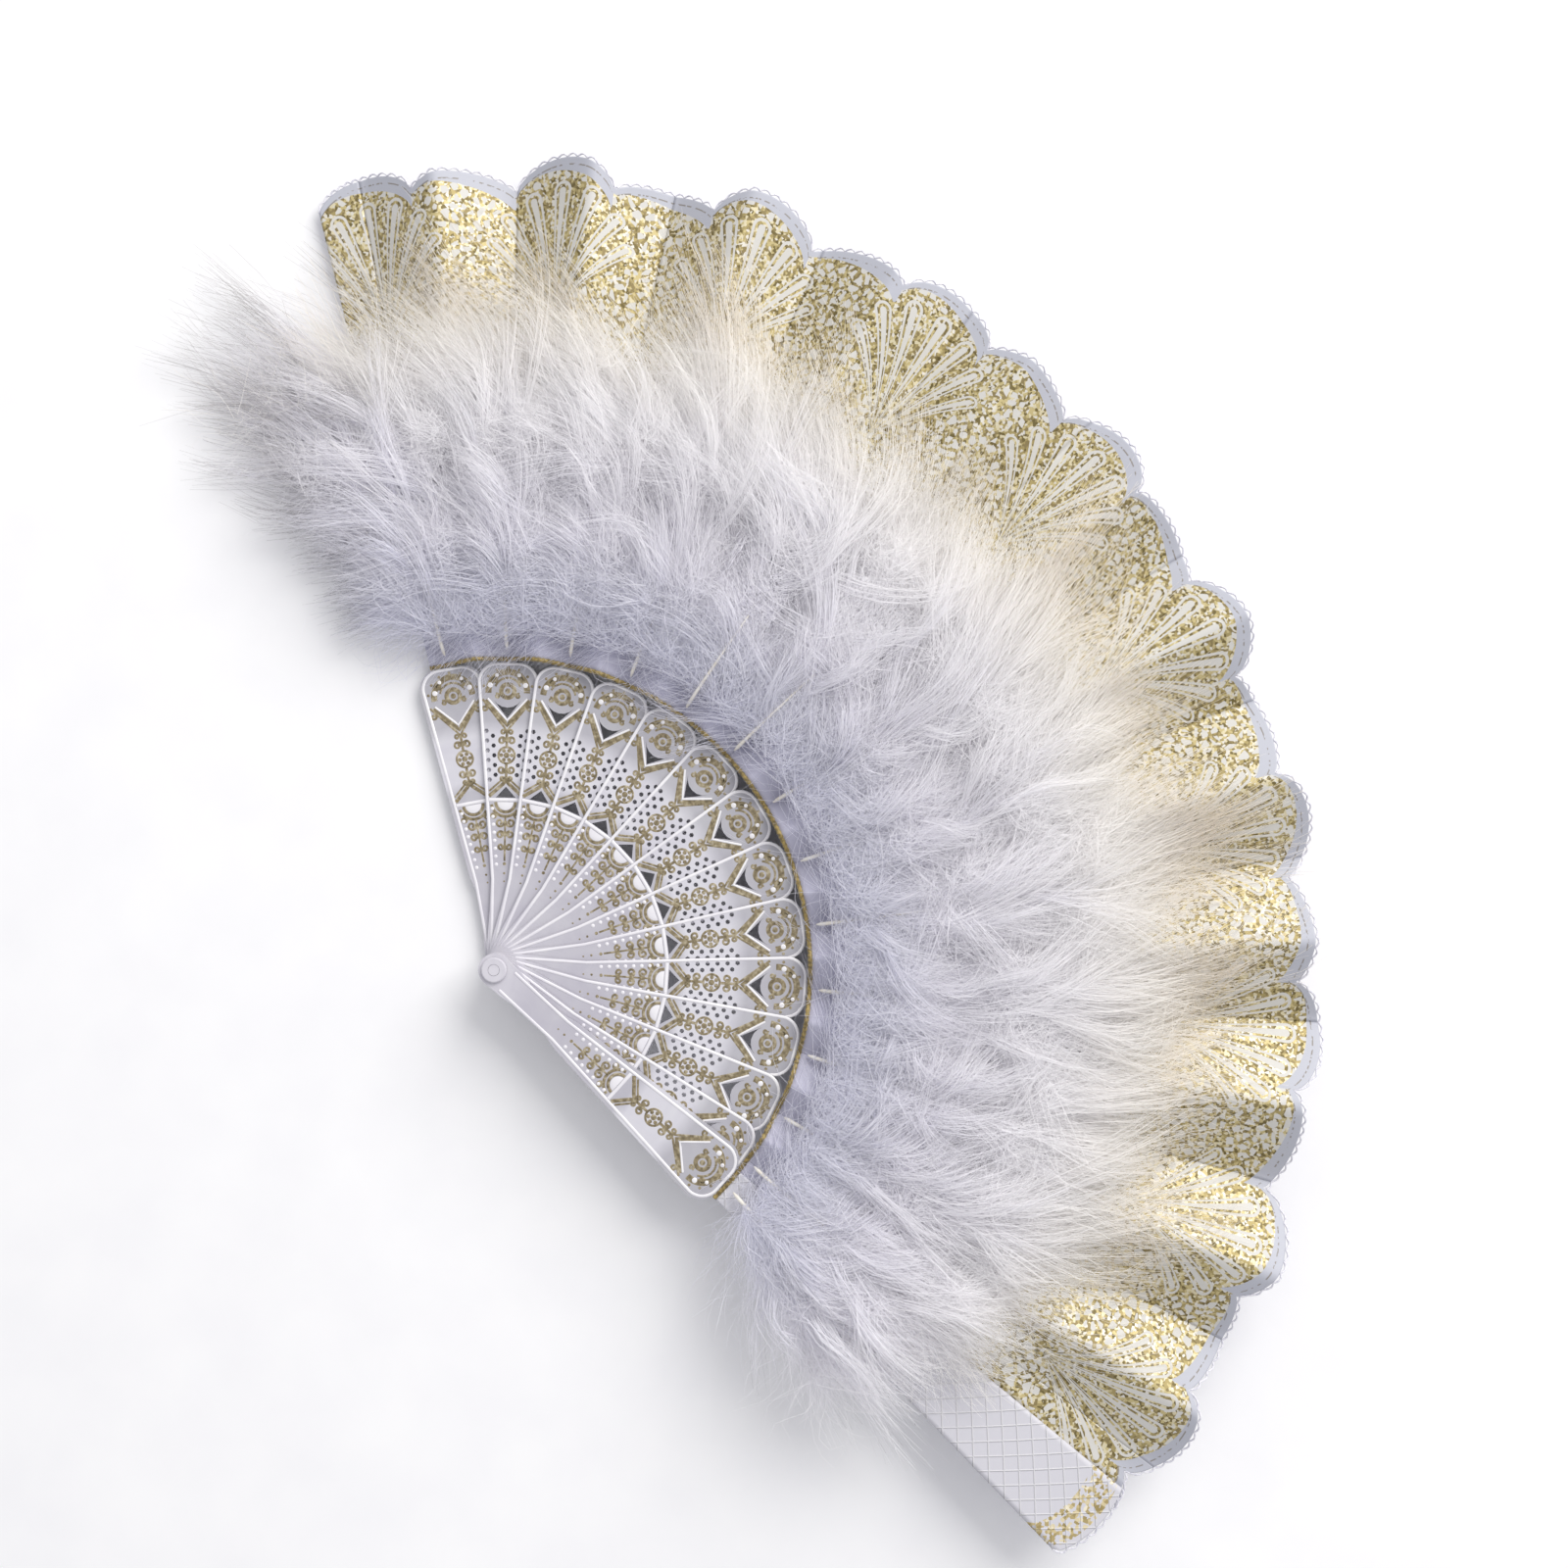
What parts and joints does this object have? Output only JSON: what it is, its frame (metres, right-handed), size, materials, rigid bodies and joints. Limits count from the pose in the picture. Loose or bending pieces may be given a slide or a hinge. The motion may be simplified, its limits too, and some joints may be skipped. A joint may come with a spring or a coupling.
{
  "type": "folding feather fan",
  "caption": "Folding hand fan: pierced plastic sticks turn on one rivet, carry a pleated leaf with a scalloped printed rim, and each holds a soft white plume.",
  "frame": {"origin": "on the rivet's axis, at the flat back face of the rivet's head", "axes": "+Z along the rivet towards the fan's front, +Y along the middle of the open leaf, +X across the spread towards the front guard"},
  "size_m": [0.4202, 0.2264, 0.0323],
  "materials": {
    "stick_plastic": "gloss",
    "rivet_plastic": "gloss",
    "leaf_fabric": "satin",
    "plume_down": "matte"
  },
  "bodies": {
    "back_guard": {"back_guard": "stick_plastic", "rivet_pin": "rivet_plastic", "rivet_front_cap": "rivet_plastic", "back_end_panel": "leaf_fabric", "plume_back": "plume_down"},
    "stick_01": {"stick_01": "stick_plastic", "leaf_pleat_01": "leaf_fabric", "plume_01": "plume_down"},
    "stick_02": {"stick_02": "stick_plastic", "leaf_pleat_02": "leaf_fabric", "plume_02": "plume_down"},
    "stick_03": {"stick_03": "stick_plastic", "leaf_pleat_03": "leaf_fabric", "plume_03": "plume_down"},
    "stick_04": {"stick_04": "stick_plastic", "leaf_pleat_04": "leaf_fabric", "plume_04": "plume_down"},
    "stick_05": {"stick_05": "stick_plastic", "leaf_pleat_05": "leaf_fabric", "plume_05": "plume_down"},
    "stick_06": {"stick_06": "stick_plastic", "leaf_pleat_06": "leaf_fabric", "plume_06": "plume_down"},
    "stick_07": {"stick_07": "stick_plastic", "leaf_pleat_07": "leaf_fabric", "plume_07": "plume_down"},
    "stick_08": {"stick_08": "stick_plastic", "leaf_pleat_08": "leaf_fabric", "plume_08": "plume_down"},
    "stick_09": {"stick_09": "stick_plastic", "leaf_pleat_09": "leaf_fabric", "plume_09": "plume_down"},
    "stick_10": {"stick_10": "stick_plastic", "leaf_pleat_10": "leaf_fabric", "plume_10": "plume_down"},
    "stick_11": {"stick_11": "stick_plastic", "leaf_pleat_11": "leaf_fabric", "plume_11": "plume_down"},
    "stick_12": {"stick_12": "stick_plastic", "leaf_pleat_12": "leaf_fabric", "plume_12": "plume_down"},
    "front_guard": {"front_guard": "stick_plastic", "leaf_pleat_13": "leaf_fabric", "front_end_panel": "leaf_fabric", "plume_front": "plume_down"}
  },
  "joints": [
    {"name": "fold_01", "type": "hinge", "parent": "back_guard", "child": "stick_01", "pos_m": [0, 0, 0], "axis": [0, 0, 1], "range_deg": [0, 11.6], "deforming": ["leaf_pleat_01", "plume_back", "plume_01"]},
    {"name": "fold_02", "type": "hinge", "parent": "stick_01", "child": "stick_02", "pos_m": [0, 0, 0], "axis": [0, 0, 1], "range_deg": [0, 11.6], "deforming": ["leaf_pleat_02", "plume_02"]},
    {"name": "fold_03", "type": "hinge", "parent": "stick_02", "child": "stick_03", "pos_m": [0, 0, 0], "axis": [0, 0, 1], "range_deg": [0, 11.6], "deforming": ["leaf_pleat_03", "plume_03"]},
    {"name": "fold_04", "type": "hinge", "parent": "stick_03", "child": "stick_04", "pos_m": [0, 0, 0], "axis": [0, 0, 1], "range_deg": [0, 11.6], "deforming": ["leaf_pleat_04", "plume_04"]},
    {"name": "fold_05", "type": "hinge", "parent": "stick_04", "child": "stick_05", "pos_m": [0, 0, 0], "axis": [0, 0, 1], "range_deg": [0, 11.6], "deforming": ["leaf_pleat_05", "plume_05"]},
    {"name": "fold_06", "type": "hinge", "parent": "stick_05", "child": "stick_06", "pos_m": [0, 0, 0], "axis": [0, 0, 1], "range_deg": [0, 11.6], "deforming": ["leaf_pleat_06", "plume_06"]},
    {"name": "fold_07", "type": "hinge", "parent": "stick_06", "child": "stick_07", "pos_m": [0, 0, 0], "axis": [0, 0, 1], "range_deg": [0, 11.6], "deforming": ["leaf_pleat_07", "plume_07"]},
    {"name": "fold_08", "type": "hinge", "parent": "stick_07", "child": "stick_08", "pos_m": [0, 0, 0], "axis": [0, 0, 1], "range_deg": [0, 11.6], "deforming": ["leaf_pleat_08", "plume_08"]},
    {"name": "fold_09", "type": "hinge", "parent": "stick_08", "child": "stick_09", "pos_m": [0, 0, 0], "axis": [0, 0, 1], "range_deg": [0, 11.6], "deforming": ["leaf_pleat_09", "plume_09"]},
    {"name": "fold_10", "type": "hinge", "parent": "stick_09", "child": "stick_10", "pos_m": [0, 0, 0], "axis": [0, 0, 1], "range_deg": [0, 11.6], "deforming": ["leaf_pleat_10", "plume_10"]},
    {"name": "fold_11", "type": "hinge", "parent": "stick_10", "child": "stick_11", "pos_m": [0, 0, 0], "axis": [0, 0, 1], "range_deg": [0, 11.6], "deforming": ["leaf_pleat_11", "plume_11"]},
    {"name": "fold_12", "type": "hinge", "parent": "stick_11", "child": "stick_12", "pos_m": [0, 0, 0], "axis": [0, 0, 1], "range_deg": [0, 10], "deforming": ["leaf_pleat_12", "plume_12"]},
    {"name": "fold_13", "type": "hinge", "parent": "stick_12", "child": "front_guard", "pos_m": [0, 0, 0], "axis": [0, 0, 1], "range_deg": [0, 5.7], "deforming": ["leaf_pleat_13", "plume_front"]}
  ],
  "couplings": [
    {"joint": "fold_02", "follows": "fold_01", "ratio": 1},
    {"joint": "fold_03", "follows": "fold_01", "ratio": 1},
    {"joint": "fold_04", "follows": "fold_01", "ratio": 1},
    {"joint": "fold_05", "follows": "fold_01", "ratio": 1},
    {"joint": "fold_06", "follows": "fold_01", "ratio": 1},
    {"joint": "fold_07", "follows": "fold_01", "ratio": 1},
    {"joint": "fold_08", "follows": "fold_01", "ratio": 1},
    {"joint": "fold_09", "follows": "fold_01", "ratio": 1},
    {"joint": "fold_10", "follows": "fold_01", "ratio": 1},
    {"joint": "fold_11", "follows": "fold_01", "ratio": 1},
    {"joint": "fold_12", "follows": "fold_01", "ratio": 0.862},
    {"joint": "fold_13", "follows": "fold_01", "ratio": 0.4913}
  ]
}
